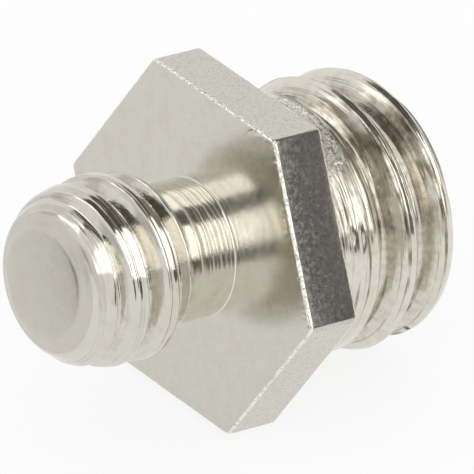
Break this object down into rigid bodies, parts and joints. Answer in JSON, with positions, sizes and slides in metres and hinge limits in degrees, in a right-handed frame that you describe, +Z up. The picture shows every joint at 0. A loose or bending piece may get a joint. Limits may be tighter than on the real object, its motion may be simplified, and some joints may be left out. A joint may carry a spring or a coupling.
{
  "type": "dual-threaded screw",
  "caption": "Short double-ended screw with a slim and a thick threaded stud on either side of a hexagonal flange, lying on its side.",
  "frame": {"origin": "on the surface that the screw lies on, below the middle of its outline", "axes": "+Z up; +X along the screw from the slim stud to the thick one, level, while the screw's own axis falls 9.7 degrees towards +X; +Y across, so that the hexagon's flats face up and down"},
  "size_m": [0.015, 0.0126, 0.0111],
  "materials": {
    "nickel_plating": "bright nickel plating over turned metal"
  },
  "bodies": {
    "root": {"dual_threaded_screw": "nickel_plating"}
  },
  "joints": []
}
